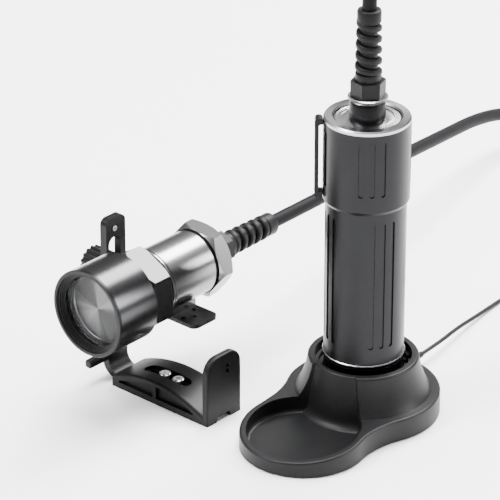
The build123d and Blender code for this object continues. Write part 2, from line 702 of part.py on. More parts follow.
KNOB_R, KNOB_RIBS = 12.0, 16
with BuildPart() as height_knob:
    with BuildSketch(facing(172.0)):
        with Locations((SLOT_X, STUD_Z)):
            Circle(KNOB_R)
            with PolarLocations(KNOB_R + 0.3, KNOB_RIBS):
                Circle(1.3, mode=Mode.SUBTRACT)
    extrude(amount=-16.0)
    rim = height_knob.edges().group_by(Axis.Y)[-1]
    chamfer(rim, length=0.8)
    with BuildSketch(facing(172.0)):
        with Locations((SLOT_X, STUD_Z)):
            Circle(4.05)
    extrude(amount=-13.8, mode=Mode.SUBTRACT)
save(height_knob, "height_knob")

ARM_SLOT = (40.0, 109.0)
FOOT_Z = (0.6, 4.6)
with BuildPart() as slotted_arm:
    with BuildSketch(hand_side):
        with BuildLine():
            Polyline((ARM_Y[0], 16.6), (ARM_Y[0], ARM_TOP), (ARM_Y[1], ARM_TOP), (ARM_Y[1], 12.6))
            RadiusArc((ARM_Y[1], 12.6), (158.0, FOOT_Z[0]), 12.0)
            Polyline((158.0, FOOT_Z[0]), (98.0, FOOT_Z[0]), (98.0, 11.2), (122.0, 11.2),
                     (124.0, FOOT_Z[1]), (157.0, FOOT_Z[1]))
            ThreePointArc((157.0, FOOT_Z[1]), (161.9, 7.9), (ARM_Y[0], 16.6))
        make_face()
    extrude(amount=ARM_WIDE / 2, both=True)
    arm_corners = slotted_arm.edges().filter_by(Axis.Y).group_by(Axis.Z)[-1]
    fillet(arm_corners, radius=5.0)
    with BuildSketch(Plane((HAND_X - ARM_WIDE / 2 + 1.0, 166.6, 16.4), x_dir=(0, 1, 0),
                           z_dir=(-1, 0, 0))):
        RectangleRounded(6.4, 6.4, 2.2)
    extrude(amount=19.8)
    fillet(slotted_arm.faces().sort_by(Axis.X)[0].edges(), radius=1.2)
    with BuildSketch(facing(ARM_Y[0] - 2.0)):
        with Locations((SLOT_X, (ARM_SLOT[0] + ARM_SLOT[1]) / 2)):
            SlotOverall(ARM_SLOT[1] - ARM_SLOT[0], 11.5, rotation=90)
        with Locations((SLOT_X, 115.4)):
            Circle(2.05)
    extrude(amount=-12.0, mode=Mode.SUBTRACT)
    with BuildSketch(Plane.XY.offset(FOOT_Z[0])):
        with Locations((HAND_X + SLOT_X, 104.0), (HAND_X + SLOT_X, 116.5)):
            Circle(2.45)
    extrude(amount=12.0, mode=Mode.SUBTRACT)
save(slotted_arm, "slotted_arm")

with BuildPart() as arm_screw:
    with BuildSketch(facing(163.4)):
        with Locations((SLOT_X, 115.4)):
            Circle(2.0)
            RegularPolygon(1.0, 6, mode=Mode.SUBTRACT)
    extrude(amount=-2.0)
    with BuildSketch(facing(165.4)):
        with Locations((SLOT_X, 115.4)):
            Circle(2.0)
    extrude(amount=-4.2)
save(arm_screw, "arm_screw")

PALM_ARCH = ((PALM_Y[0] + END_THICK, 6.5), (108.0, PALM_TOP), (PALM_Y[1], 8.2))
PALM_SKIN = 2.5
PALM_SIDE = 4.2
PALM_SLOT_Y = (93.0, 135.0)
WELL_FLOOR = 12.7            # where the heads of the two screws rest
PALM_SCREW_Y = (104.0, 116.5)
palm_slot = Plane((HAND_X + SLOT_X, (PALM_SLOT_Y[0] + PALM_SLOT_Y[1]) / 2, 0))
with BuildPart() as palm_plate:
    with BuildSketch(hand_side):
        with BuildLine():
            ThreePointArc(*PALM_ARCH)
            Polyline(PALM_ARCH[2], (PALM_Y[1], 0), (PALM_ARCH[0][0], 0), PALM_ARCH[0])
        make_face()
    extrude(amount=PALM_WIDE / 2, both=True)
    arch_edges = palm_plate.edges().filter_by(GeomType.CIRCLE)
    fillet(arch_edges, radius=2.0)
    with BuildSketch(facing(PALM_Y[0])):
        with Locations((0, END_TOP / 2)):
            RectangleRounded(PALM_WIDE, END_TOP, 11.5)
        with Locations((0, END_TOP / 4)):
            Rectangle(PALM_WIDE, END_TOP / 2)
    extrude(amount=-END_THICK)
    end_rim = palm_plate.faces().sort_by(Axis.Y)[0].edges().filter_by(
        lambda e: e.center().Z > 1)
    fillet(end_rim, radius=1.2)
    with BuildSketch(hand_side):
        with BuildLine():
            ThreePointArc((70.0, 6.3), (108.0, PALM_TOP - PALM_SKIN), (150.0, 7.0))
            Polyline((150.0, 7.0), (150.0, -1), (70.0, -1), (70.0, 6.3))
        make_face()
    extrude(amount=PALM_WIDE / 2 - PALM_SIDE, both=True, mode=Mode.SUBTRACT)
    with BuildSketch(palm_slot.offset(WELL_FLOOR - 1.3)):
        Rectangle(19.0, 52.0)
    extrude(amount=5.0)
    with BuildSketch(hand_side):
        with BuildLine():
            ThreePointArc(*PALM_ARCH)
            Polyline(PALM_ARCH[2], (PALM_Y[1], END_TOP), (PALM_ARCH[0][0], END_TOP), PALM_ARCH[0])
        make_face()
    extrude(amount=12.0, both=True, mode=Mode.SUBTRACT)
    with BuildSketch(palm_slot.offset(WELL_FLOOR)):
        SlotOverall(PALM_SLOT_Y[1] - PALM_SLOT_Y[0], 10.5, rotation=90)
    extrude(amount=10.0, mode=Mode.SUBTRACT)
    with BuildSketch(palm_slot.offset(WELL_FLOOR - 2.0)):
        SlotOverall(PALM_SLOT_Y[1] - PALM_SLOT_Y[0] - 4.9, 5.6, rotation=90)
    extrude(amount=4.0, mode=Mode.SUBTRACT)
    for side in (-1, 1):
        with BuildSketch(hand_side.offset(side * (PALM_WIDE / 2 - 2.4))):
            with BuildLine():
                ThreePointArc((75.0, 5.6), (92.0, 12.2), (111.0, 14.2))
                Polyline((111.0, 14.2), (111.0, 4.7), (75.0, 4.7), (75.0, 5.6))
            make_face()
            with BuildLine():
                ThreePointArc((114.0, 14.1), (131.0, 11.0), (147.0, 5.8))
                Polyline((147.0, 5.8), (147.0, 4.7), (114.0, 4.7), (114.0, 14.1))
            make_face()
        extrude(amount=side * 3.0, mode=Mode.SUBTRACT)
    with BuildSketch(facing(PALM_Y[1] - 6.0)):
        with Locations((0, 2.6)):
            Rectangle(ARM_WIDE + 1.2, 5.4)
    extrude(amount=-10.0, mode=Mode.SUBTRACT)
    with BuildSketch(facing(PALM_Y[0] - 1.0)):
        with BuildLine():
            Polyline((-8.4, -1.0), (-6.4, 3.6), (5.2, 4.4), (7.0, -1.0), (-8.4, -1.0))
        make_face()
        with Locations((3.5, 37.3)):
            Circle(2.1)
        with Locations((3.7, 41.4)):
            Circle(1.6)
    extrude(amount=-7.0, mode=Mode.SUBTRACT)
save(palm_plate, "palm_plate")

with BuildPart() as palm_screws:
    with BuildSketch(Plane.XY.offset(WELL_FLOOR + 0.1)):
        with Locations(*[(HAND_X + SLOT_X, y) for y in PALM_SCREW_Y]):
            Circle(4.5)
    extrude(amount=4.6)
    fillet(palm_screws.edges().group_by(Axis.Z)[-1], radius=1.4)
    with BuildSketch(Plane.XY.offset(WELL_FLOOR + 2.5)):
        with Locations(*[(HAND_X + SLOT_X, y) for y in PALM_SCREW_Y]):
            RegularPolygon(2.0, 6)
    extrude(amount=3.0, mode=Mode.SUBTRACT)
    with BuildSketch(Plane.XY.offset(1.0)):
        with Locations(*[(HAND_X + SLOT_X, y) for y in PALM_SCREW_Y]):
            Circle(2.4)
    extrude(amount=WELL_FLOOR - 0.9)
save(palm_screws, "palm_screws")


# ---- cords --------------------------------------------------------------------------------
def cord_tube(name, points, radius):
    """A round cord along a route of straight runs and tangent arcs."""
    radii = tangent_radii(points)
    with BuildPart() as tube:
        with BuildLine() as route:
            FilletPolyline(*points, radius=radii)
        with BuildSketch(Plane(route.line @ 0, z_dir=route.line % 0)):
            Circle(radius)
        sweep(path=route.line)
    save(tube, name)
    long = route.wires()[0].length
    print(f"{name}: bend radii {[round(r, 1) for r in radii]} mm, length {long:.0f} mm,",
          f"volume over section times length {tube.part.volume / (pi * radius**2 * long):.4f}")


UMBILICAL = [
    (44.5, 126.0, 87.0), (95.0, 127.0, 86.5), (158.0, 137.5, 80.5), (219.0, 148.5, 72.0),
    (289.0, 164.5, 60.0), (371.0, 186.0, 44.0), (430.0, 190.0, 26.0), (474.0, 156.0, 11.0),
    (487.0, 100.0, 5.1), (463.0, 40.0, 5.1), (408.0, -5.0, 5.1), (340.0, -26.0, 5.1),
    (268.0, -33.0, 8.0), (207.0, -34.0, 45.0), (178.0, -35.0, 115.0), (170.0, -35.5, 200.0),
    (169.5, -34.5, 280.0), (167.0, -34.0, 350.0), (137.0, -28.0, 398.0), (85.0, -17.5, 417.0),
    (33.0, -6.8, 402.0), (0.0, 0.0, 357.0), (0.0, 0.0, 302.8)]
cord_tube("umbilical", UMBILICAL, CABLE_R)

COIL_AT, COIL_R, COIL_TOP = (225.0, 7.0), (12.4, 21.6), 9.3
lead_start = lead_out.origin + lead_out.z_dir * BOOT_LONG
lead_level = lead_out.origin + lead_out.z_dir * (BOOT_LONG + 22.0)
coil_edge = COIL_R[1] - LEAD_R
LEAD = [
    tuple(lead_start), tuple(lead_level), (126.0, 15.8, 7.4), (156.0, 21.6, 3.4),
    (184.0, 25.6, 1.7), (206.0, COIL_AT[1] + coil_edge, 1.6)]
cord_tube("charge_lead", LEAD, LEAD_R)

with BuildPart() as charge_lead_coil:
    with BuildSketch(Plane((*COIL_AT, 0.05))):
        Circle(COIL_R[1])
        Circle(COIL_R[0], mode=Mode.SUBTRACT)
    extrude(amount=COIL_TOP - 0.05)
    fillet(charge_lead_coil.edges(), radius=1.3)
save(charge_lead_coil, "charge_lead_coil")

PLUG = Plane((196.0, COIL_AT[1] - coil_edge, 4.3), x_dir=(0, 1, 0), z_dir=(-1, 0, 0))
with BuildPart() as plug_body:
    with BuildSketch(PLUG):
        RectangleRounded(7.0, 5.0, 2.0)
    with BuildSketch(PLUG.offset(6.0)):
        RectangleRounded(15.4, 8.0, 2.0)
    loft()
    with BuildSketch(PLUG.offset(6.0)):
        RectangleRounded(15.4, 8.0, 2.0)
    extrude(amount=18.0)
    fillet(plug_body.faces().sort_by(Axis.X)[0].edges(), radius=0.8)
save(plug_body, "plug_body")

with BuildPart() as plug_shell:
    with BuildSketch(PLUG.offset(24.0)):
        RectangleRounded(12.0, 4.5, 0.5)
    extrude(amount=12.0)
    with BuildSketch(PLUG.offset(24.5)):
        RectangleRounded(11.2, 3.7, 0.3)
    extrude(amount=12.0, mode=Mode.SUBTRACT)
save(plug_shell, "plug_shell")

with BuildPart() as plug_tongue:
    with BuildSketch(PLUG.offset(24.55)):
        with Locations((0, -0.85)):
            Rectangle(10.8, 1.8)
    extrude(amount=10.4)
save(plug_tongue, "plug_tongue")
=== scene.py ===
# %% [markdown]
# # A dive light on its umbilical, standing in its charging dock
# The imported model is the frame: every node is already in its place, in metres. This lesson
# keeps those pieces, gives each one the finish that the real piece has, and makes again the
# few whose shape a workshop drawing only hints at: the two cords, the helical bend reliefs,
# the knurled knob, the cable port, and the throat and reflector of the lamp.

# %% The frame
import json
from math import cos, pi, radians, sin

import bmesh
import bpy
from mathutils import Matrix, Vector


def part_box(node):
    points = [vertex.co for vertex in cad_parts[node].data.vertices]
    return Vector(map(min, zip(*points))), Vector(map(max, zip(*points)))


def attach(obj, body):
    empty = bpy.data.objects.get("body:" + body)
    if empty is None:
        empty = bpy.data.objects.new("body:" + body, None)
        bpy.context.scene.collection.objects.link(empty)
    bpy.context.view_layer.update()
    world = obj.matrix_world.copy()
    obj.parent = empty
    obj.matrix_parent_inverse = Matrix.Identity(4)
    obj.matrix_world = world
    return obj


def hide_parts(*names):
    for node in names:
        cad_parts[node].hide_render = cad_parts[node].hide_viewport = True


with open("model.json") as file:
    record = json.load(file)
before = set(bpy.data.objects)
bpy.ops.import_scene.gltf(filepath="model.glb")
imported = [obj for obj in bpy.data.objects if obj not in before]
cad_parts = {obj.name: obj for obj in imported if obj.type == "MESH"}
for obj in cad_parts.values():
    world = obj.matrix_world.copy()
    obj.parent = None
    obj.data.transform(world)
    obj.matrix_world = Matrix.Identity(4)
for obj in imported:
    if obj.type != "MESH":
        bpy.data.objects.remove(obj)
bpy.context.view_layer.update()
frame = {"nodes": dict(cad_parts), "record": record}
nodes = frame["nodes"]
MM = 0.001

# %% [markdown]
# ## The camera
# The set is looked at from its front left, from a good way off with a long lens, so that the
# canister's sides stay nearly upright. The camera is aimed at a point between the lamp and
# the canister. Its lens is in millimetres on a 36 mm sensor.

# %% The camera
CAMERA_AT = Vector((-1.5546, -1.2859, 1.1375))
CAMERA_AIM = Vector((-0.02384, 0.08499, 0.10434))
LENS_MM = 236.36


def link(piece):
    """Puts a new object in the scene."""
    bpy.context.scene.collection.objects.link(piece)
    return piece


camera = link(bpy.data.objects.new("camera", bpy.data.cameras.new("camera")))
camera.location = CAMERA_AT
camera.rotation_euler = (CAMERA_AIM - CAMERA_AT).to_track_quat("-Z", "Y").to_euler()
camera.data.sensor_width = 36.0
camera.data.lens = LENS_MM
camera.data.clip_end = 20.0
bpy.context.scene.camera = camera
print("camera stands", round((CAMERA_AIM - CAMERA_AT).length, 3), "m away")

# %% [markdown]
# ## The cords
# A cord is one smooth line with a round section. A NURBS curve of order three follows a
# short list of points and never wiggles between them, which is how a springy cable lies.
# Its bevel is one metre and each point carries the cord's radius, because a curve's own box
# is reckoned from the radius of its points.
# The umbilical leaves the lamp level, sinks to the floor, comes back in a wide bow and
# arches over into the top of the canister. It is 1.43 m long and 10 mm thick.

# %% The umbilical
UMBILICAL_R = 5.0 * MM
UMBILICAL_ROUTE = [
    (44.5, 126.0, 87.0), (95.0, 127.0, 86.5), (158.0, 137.5, 80.5), (219.0, 148.5, 72.0),
    (289.0, 164.5, 60.0), (371.0, 186.0, 44.0), (430.0, 190.0, 26.0), (474.0, 156.0, 11.0),
    (487.0, 100.0, 5.1), (463.0, 40.0, 5.1), (408.0, -5.0, 5.1), (340.0, -26.0, 5.1),
    (268.0, -33.0, 8.0), (207.0, -34.0, 45.0), (178.0, -35.0, 115.0), (170.0, -35.5, 200.0),
    (169.5, -34.5, 280.0), (167.0, -34.0, 350.0), (137.0, -28.0, 398.0), (85.0, -17.5, 417.0),
    (33.0, -6.8, 402.0), (0.0, 0.0, 357.0), (0.0, 0.0, 302.8)]


def cord_curve(name, route, radius, smooth=12):
    """A round cord along a NURBS line through the middle of its route, given in metres."""
    curve = bpy.data.curves.new(name, "CURVE")
    curve.dimensions = "3D"
    curve.bevel_depth = 1.0
    curve.bevel_resolution = 6
    curve.resolution_u = smooth
    curve.use_fill_caps = True
    spline = curve.splines.new("NURBS")
    spline.points.add(len(route) - 1)
    for spot, point in zip(spline.points, route):
        spot.co = (*point, 1.0)
        spot.radius = radius
    spline.order_u = 3
    spline.use_endpoint_u = True
    return link(bpy.data.objects.new(name, curve))


def metres(route):
    """A route in millimetres, in metres."""
    return [tuple(value * MM for value in point) for point in route]


umbilical = cord_curve("umbilical_cable", metres(UMBILICAL_ROUTE), UMBILICAL_R)
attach(umbilical, "torch")
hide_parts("umbilical")
metres(UMBILICAL_ROUTE)[0]

# %% [markdown]
# ## The charging lead and its coil
# The lead comes out of its boot, sinks to the floor and is put away as a small round coil.
# The coil's turns are worked out: they lie side by side, go inwards on the floor, climb on
# the inside, go outwards on top, and climb once more before the end leaves for the plug.
# A turn shifts or climbs only over a quarter of its way, so that neighbours never cross.

# %% The charging lead
LEAD_R = 1.5 * MM
LEAD_EXIT = (75.042, 7.754, 9.5)
LEAD_ROUTE = [LEAD_EXIT, (96.988, 9.288, 9.5), (126.0, 15.8, 7.4), (156.0, 21.6, 3.4),
              (184.0, 25.6, 1.7), (206.0, 27.1, 1.6)]
COIL_AT = (225.0, 7.0)
COIL_STEP = 3.1                       # from one turn to the next, both ways
COIL_TURNS = 5.5
SHIFT_TURNS = 0.25                    # a turn shifts or climbs over this much of its way
COIL_OUTER = 20.1                     # middle of the outermost turn
COIL_LOW = 1.6
POINTS_PER_TURN = 16
PLUG_BACK = (196.0, -13.1, 4.3)


def eased(along, start):
    """0 before start, 1 once the shift that starts there is over, and smooth between."""
    done = min(max((along - start) / SHIFT_TURNS, 0.0), 1.0)
    return done * done * (3 - 2 * done)


def coil_points():
    """The turns, counted from the far side of the coil and going round clockwise."""
    inward = (0.75, 1.75)             # where turns step in, along the way in turns
    outward = (3.25, 4.25)
    climbs = (2.5, 5.0)
    outside = cos(pi / POINTS_PER_TURN)   # the cord runs a little inside its points
    points = []
    for step in range(int(COIL_TURNS * POINTS_PER_TURN) + 1):
        along = step / POINTS_PER_TURN
        columns = sum(eased(along, s) for s in inward) - sum(eased(along, s) for s in outward)
        level = sum(eased(along, s) for s in climbs)
        reach = (COIL_OUTER - COIL_STEP * columns) / outside
        angle = pi / 2 - 2 * pi * along
        points.append((COIL_AT[0] + reach * cos(angle), COIL_AT[1] + reach * sin(angle),
                       COIL_LOW + COIL_STEP * level))
    return points


lead_end = [(214.0, -13.4, 7.4), (205.0, -13.2, 5.4), PLUG_BACK]
charge_lead = cord_curve("charging_lead", metres(LEAD_ROUTE + coil_points() + lead_end),
                         LEAD_R, smooth=6)
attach(charge_lead, "dock")
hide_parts("charge_lead", "charge_lead_coil")
metres([LEAD_EXIT])[0]

# %% [markdown]
# ## Shader maths as expressions
# A finish is a small sum: a colour that drifts a little, a roughness that drifts with it,
# and a bump. Written as nodes that is a page of wires, so one class wraps a socket, and
# adding or multiplying two of them adds the Math node that does it. Geometry trees use the
# same class further down.


# %% A socket that can be calculated with
class Wire:
    """One output socket. Arithmetic on it adds Math nodes, and node() adds any other node."""

    def __init__(self, tree, socket):
        self.tree = tree
        self.socket = socket

    def node(self, kind, settings=None, inputs=None, out=0):
        """Adds a node of that type, with its settings, and the values or links of its sockets.
        It gives back the output out, which is None for a node that ends a tree."""
        new = self.tree.nodes.new(kind)
        for name, value in (settings or {}).items():
            if name == "stops":
                ends = new.color_ramp.elements
                for element, (place, shade) in zip(ends, value):
                    element.position = place
                    element.color = (shade, shade, shade, 1.0)
                for place, shade in value[2:]:
                    ends.new(place).color = (shade, shade, shade, 1.0)
            else:
                setattr(new, name, value)
        for name, value in (inputs or {}).items():
            if isinstance(value, Wire):
                self.tree.links.new(value.socket, new.inputs[name])
            else:
                new.inputs[name].default_value = value
        return None if out is None else Wire(self.tree, new.outputs[out])

    def math(self, operation, *values):
        return self.node("ShaderNodeMath", {"operation": operation}, dict(enumerate(values)))

    def __add__(self, other):
        return self.math("ADD", self, other)

    def __radd__(self, other):
        return self.math("ADD", other, self)

    def __sub__(self, other):
        return self.math("SUBTRACT", self, other)

    def __rsub__(self, other):
        return self.math("SUBTRACT", other, self)

    def __mul__(self, other):
        return self.math("MULTIPLY", self, other)

    def __rmul__(self, other):
        return self.math("MULTIPLY", other, self)

    def noise(self, scale, detail=2.0):
        """Clouds between 0 and 1, at that many per metre."""
        return self.node("ShaderNodeTexNoise", {"noise_dimensions": "3D"},
                         {"Vector": self, "Scale": scale, "Detail": detail})

    def stretched(self, scales, middle=(0, 0, 0)):
        """The same coordinates, counted from a middle and stretched along each axis."""
        moved = self.node("ShaderNodeVectorMath", {"operation": "SUBTRACT"},
                          {0: self, 1: middle})
        return self.node("ShaderNodeVectorMath", {"operation": "MULTIPLY"},
                         {0: moved, 1: scales})

    def part(self, number):
        """One of the three numbers of a vector."""
        return self.node("ShaderNodeSeparateXYZ", None, {0: self}, out=number)

    def tint(self, dark, light):
        """This number as a mix of two colours."""
        return self.node("ShaderNodeMix", {"data_type": "RGBA"},
                         {0: self, 6: (*dark, 1.0), 7: (*light, 1.0)}, out=2)


# %% [markdown]
# ## Finishes
# Every finish starts in the same way: a Principled shader whose fixed qualities sit on its
# own sockets, and the Object coordinates of the piece. What drifts over the surface goes
# only to the colour, the roughness and the bump.


# %% How a finish starts and ends
def start_finish(name, **fixed):
    """A new material, its Principled shader, and its Object coordinates as a Wire."""
    material = bpy.data.materials.new(name)
    material.use_nodes = True
    tree = material.node_tree
    shader = tree.nodes["Principled BSDF"]
    for socket, value in fixed.items():
        shader.inputs[socket.replace("_", " ")].default_value = value
    coordinates = tree.nodes.new("ShaderNodeTexCoord")
    return material, shader, Wire(tree, coordinates.outputs["Object"])


def end_finish(shader, coords, color, roughness, height, depth):
    """Links colour, roughness and a bump whose height is depth metres."""
    bump = coords.node("ShaderNodeBump", None,
                       {"Height": height, "Distance": depth, "Strength": 1.0})
    for socket, wire in (("Base Color", color), ("Roughness", roughness), ("Normal", bump)):
        coords.tree.links.new(wire.socket, shader.inputs[socket])


# %% [markdown]
# Moulded plastic is never quite even: the mould's fine spark texture scatters light, and
# the melt leaves broad, faint clouds. A grain of a third of a millimetre gives the first and
# a cloud of two centimetres the second.


# %% Moulded plastic and rubber
MELT_CLOUDS = 55.0                    # per metre


def moulded(name, dark, light, roughness, grain=2600.0, depth=0.00006, shine=0.14):
    material, shader, coords = start_finish(name, Specular_IOR_Level=shine)
    clouds = coords.noise(MELT_CLOUDS, 3.0)
    fine = coords.noise(grain, 1.0)
    end_finish(shader, coords, (0.7 * clouds + 0.3 * fine).tint(dark, light),
               roughness - 0.05 + 0.1 * clouds, fine, depth)
    return material


dock_plastic = moulded("dock_plastic", (0.0045, 0.0045, 0.005), (0.0085, 0.0085, 0.009), 0.40)
mount_black = moulded("mount_black", (0.002, 0.002, 0.0022), (0.004, 0.004, 0.0044), 0.38)
liner_black = moulded("liner_black", (0.002, 0.002, 0.002), (0.004, 0.004, 0.004), 0.5,
                      shine=0.15)
gland_black = moulded("gland_black", (0.0025, 0.0025, 0.003), (0.005, 0.005, 0.0055), 0.4)
relief_grey = moulded("relief_grey", (0.003, 0.003, 0.0035), (0.006, 0.006, 0.0065), 0.46)
cable_grey = moulded("cable_grey", (0.006, 0.006, 0.0065), (0.010, 0.010, 0.011), 0.52,
                     grain=1800.0, shine=0.05)
lead_black = moulded("lead_black", (0.005, 0.005, 0.0055), (0.009, 0.009, 0.010), 0.45,
                     grain=3000.0, depth=0.00003)
foot_rubber = moulded("foot_rubber", (0.004, 0.004, 0.004), (0.008, 0.008, 0.008), 0.8)
oring_black = moulded("oring_black", (0.003, 0.003, 0.003), (0.006, 0.006, 0.006), 0.5)
cell_holder = moulded("cell_holder", (0.01, 0.01, 0.01), (0.02, 0.02, 0.02), 0.6)

# %% [markdown]
# Turned metal carries the marks of the lathe: fine rings round its axis. Noise that is
# squeezed along the axis and stretched round it gives just such rings. They steer the
# roughness a little and the bump very little. The axis is Z for the canister and X for the
# lamp.

# %% Turned and anodised metal
MARKS, STRETCHED = 2600.0, 20.0       # per metre, along the axis and round it
ALONG_Z = (STRETCHED, STRETCHED, MARKS)
ALONG_X = (MARKS, STRETCHED, STRETCHED)


def turned_metal(name, dark, light, roughness, along, middle=(0, 0, 0), marks=0.10,
                 depth=0.000012, **fixed):
    material, shader, coords = start_finish(name, Metallic=1.0, **fixed)
    rings = coords.stretched(along, middle).noise(1.0, 2.0)
    clouds = coords.noise(40.0, 2.0)
    end_finish(shader, coords, (0.5 * rings + 0.5 * clouds).tint(dark, light),
               roughness - marks / 2 + marks * rings, rings, depth)
    return material


lamp_low, lamp_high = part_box("lamp_head_shell")
LAMP_AXIS = (0.0, (lamp_low[1] + lamp_high[1]) / 2, (lamp_low[2] + lamp_high[2]) / 2)
canister_grey = turned_metal("canister_grey", (0.015, 0.015, 0.016), (0.021, 0.021, 0.022), 0.33,
                             ALONG_Z)
polished_metal = turned_metal("polished_metal", (0.34, 0.34, 0.343), (0.44, 0.44, 0.444), 0.22,
                              ALONG_Z, Anisotropic=0.75)
head_grey = turned_metal("head_grey", (0.050, 0.050, 0.052), (0.062, 0.062, 0.064), 0.235, ALONG_X,
                         LAMP_AXIS, marks=0.03, depth=0.000004)
lamp_silver = turned_metal("lamp_silver", (0.22, 0.22, 0.223), (0.28, 0.28, 0.283), 0.24,
                           ALONG_X, LAMP_AXIS, marks=0.03, depth=0.000004)
screw_steel = turned_metal("screw_steel", (0.42, 0.42, 0.42), (0.55, 0.55, 0.55), 0.32, ALONG_Z)
bright_screw = turned_metal("bright_screw", (0.80, 0.80, 0.81), (0.90, 0.90, 0.91), 0.14,
                            ALONG_Z, marks=0.05)
contact_gold = turned_metal("contact_gold", (0.72, 0.50, 0.18), (0.85, 0.62, 0.26), 0.25,
                            ALONG_Z)
cell_can = turned_metal("cell_can", (0.04, 0.10, 0.30), (0.06, 0.14, 0.38), 0.4, ALONG_Z)

# %% [markdown]
# The lamp's optics are two finishes. The window is clear glass, which the export keeps best as a
# nearly transparent surface with a clear coat. Behind it the reflector is a spun dish.
# Its colour carries painted reflection: light that runs along its spinning marks is painted in as
# lighter and darker wedges that meet at the middle, so its brightness changes with the angle round
# the lamp's axis, in soft-edged wedges of uneven width.


# %% Glass, reflector, light source and circuit board
def clear_glass(name):
    material, shader, coords = start_finish(name, Roughness=0.05, IOR=1.5, Coat_Weight=0.3)
    smears = coords.noise(90.0, 3.0)
    tree = coords.tree
    tree.links.new(smears.tint((0.02, 0.021, 0.022), (0.04, 0.042, 0.043)).socket,
                   shader.inputs["Base Color"])
    tree.links.new((0.10 + 0.05 * smears).socket, shader.inputs["Alpha"])
    return material


PAINTED_HIGHLIGHT_ANGLE = 2.17                   # where the reflector's painted highlight wedges are brightest


# A spun reflector whose colour carries painted reflection: wedges lighter and darker round the
# axis.
def reflector_painted_wedges(name):
    material, shader, coords = start_finish(name, Metallic=1.0)
    place = coords.stretched((1.0, 1.0, 1.0), LAMP_AXIS)
    around = place.math("ARCTAN2", place.part(2), place.part(1))
    circle = around.node("ShaderNodeCombineXYZ", None,
                         {0: around.math("COSINE", around), 1: around.math("SINE", around)})
    # painted highlights: two broad lobes and noisy wedges round the axis, put into the colour
    painted_lobes = around.math("COSINE", 2.0 * around - 2.0 * PAINTED_HIGHLIGHT_ANGLE)
    painted_wedges = circle.noise(1.6, 1.0)
    fine = circle.noise(9.0, 2.0)
    painted_reflection = painted_wedges.node("ShaderNodeValToRGB",
                           {"stops": [(0.30, 0.0), (0.74, 1.0), (0.5, 0.30)]},
                           {0: 0.22 * painted_lobes + 0.85 * painted_wedges + 0.12 * fine})
    end_finish(shader, coords, painted_reflection.tint((0.025, 0.025, 0.026), (0.20, 0.20, 0.204)),
               0.34 + 0.1 * fine, fine, 0.00001)
    return material


def phosphor(name):
    material, shader, coords = start_finish(name, Coat_Weight=0.6)
    clouds = coords.noise(900.0, 2.0)
    end_finish(shader, coords, clouds.tint((0.72, 0.56, 0.12), (0.86, 0.72, 0.24)),
               0.35 + 0.1 * clouds, clouds, 0.00002)
    return material


def solder_mask(name):
    material, shader, coords = start_finish(name, Coat_Weight=0.5)
    tracks = coords.node("ShaderNodeTexVoronoi", {"feature": "DISTANCE_TO_EDGE"},
                         {"Vector": coords, "Scale": 260.0})
    end_finish(shader, coords, tracks.tint((0.02, 0.22, 0.09), (0.01, 0.12, 0.05)),
               0.3 + 0.2 * tracks, tracks, 0.00004)
    return material


lens_glass = clear_glass("lens_glass")
reflector_silver = reflector_painted_wedges("reflector_silver")
led_yellow = phosphor("led_yellow")
board_green = solder_mask("board_green")

# %% [markdown]
# ## Giving the frame its finishes
# The record says which slot each node takes its finish from, so one loop dresses them all.
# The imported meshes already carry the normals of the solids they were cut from, so round
# things look round and edges stay crisp.

# %% Dress the nodes
FINISHES = {
    "dock_plastic": dock_plastic, "foot_rubber": foot_rubber, "liner_black": liner_black,
    "screw_steel": screw_steel, "bright_screw": bright_screw, "board_green": board_green,
    "contact_gold": contact_gold, "lead_black": lead_black, "canister_grey": canister_grey,
    "polished_metal": polished_metal, "gland_black": gland_black, "relief_grey": relief_grey,
    "cable_grey": cable_grey, "oring_black": oring_black, "cell_can": cell_can,
    "cell_holder": cell_holder, "head_grey": head_grey, "lamp_silver": lamp_silver,
    "lens_glass": lens_glass, "reflector_silver": reflector_silver, "led_yellow": led_yellow,
    "mount_black": mount_black}
slot_of = {row["node"]: row["material_slot"] for row in frame["record"]["subparts"]}


def dress(piece, slot_name):
    """Gives a piece its one finish."""
    piece.data.materials.clear()
    piece.data.materials.append(FINISHES[slot_name])


for node_name, node in nodes.items():
    dress(node, slot_of[node_name])
# the rim in front of the lamp head is as dark as the canister
dress(nodes["lamp_front_ring"], "canister_grey")
dress(umbilical, "cable_grey")
dress(charge_lead, "lead_black")
print("dressed", len(nodes), "nodes in", len(FINISHES), "finishes")

# %% [markdown]
# ## Round pieces made on a lathe
# A lathe turns an outline about an axis. Blender's spin does the same with a bmesh: a chain
# of edges goes round in steps, the last step is merged with the first, and the faces are
# turned outwards. Shading is smooth except where the outline has a corner.


# %% A lathe
LATHE_STEPS = 128
CORNER = radians(28)                  # a sharper bend than this is an edge
SAME_POINT = 1e-7                     # metres


def lathe(name, outline, place, body, slot_name, stands_for=()):
    """Turns a closed outline of (radius, height) in mm about the Z axis of place."""
    work = bmesh.new()
    ring = [work.verts.new((radius * MM, 0, height * MM)) for radius, height in outline]
    edges = [work.edges.new(pair) for pair in zip(ring, ring[1:] + ring[:1])]
    bmesh.ops.spin(work, geom=ring + edges, axis=(0, 0, 1), cent=(0, 0, 0), angle=2 * pi,
                   steps=LATHE_STEPS)
    bmesh.ops.remove_doubles(work, verts=work.verts, dist=SAME_POINT)
    bmesh.ops.recalc_face_normals(work, faces=work.faces)
    return settle(name, work, place, body, slot_name, stands_for)


def settle(name, work, place, body, slot_name, stands_for=()):
    """Makes a bmesh a finished piece: placed in its mesh, dressed, and riding on its body."""
    work.transform(place)
    mesh = bpy.data.meshes.new(name)
    for face in work.faces:
        face.smooth = True
    for edge in work.edges:
        edge.smooth = len(edge.link_faces) == 2 and edge.calc_face_angle(0) < CORNER
    work.to_mesh(mesh)
    work.free()
    piece = link(bpy.data.objects.new(name, mesh))
    dress(piece, slot_name)
    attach(piece, body)
    if stands_for:
        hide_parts(*stands_for)
    print(name, len(mesh.polygons), "faces")
    return piece


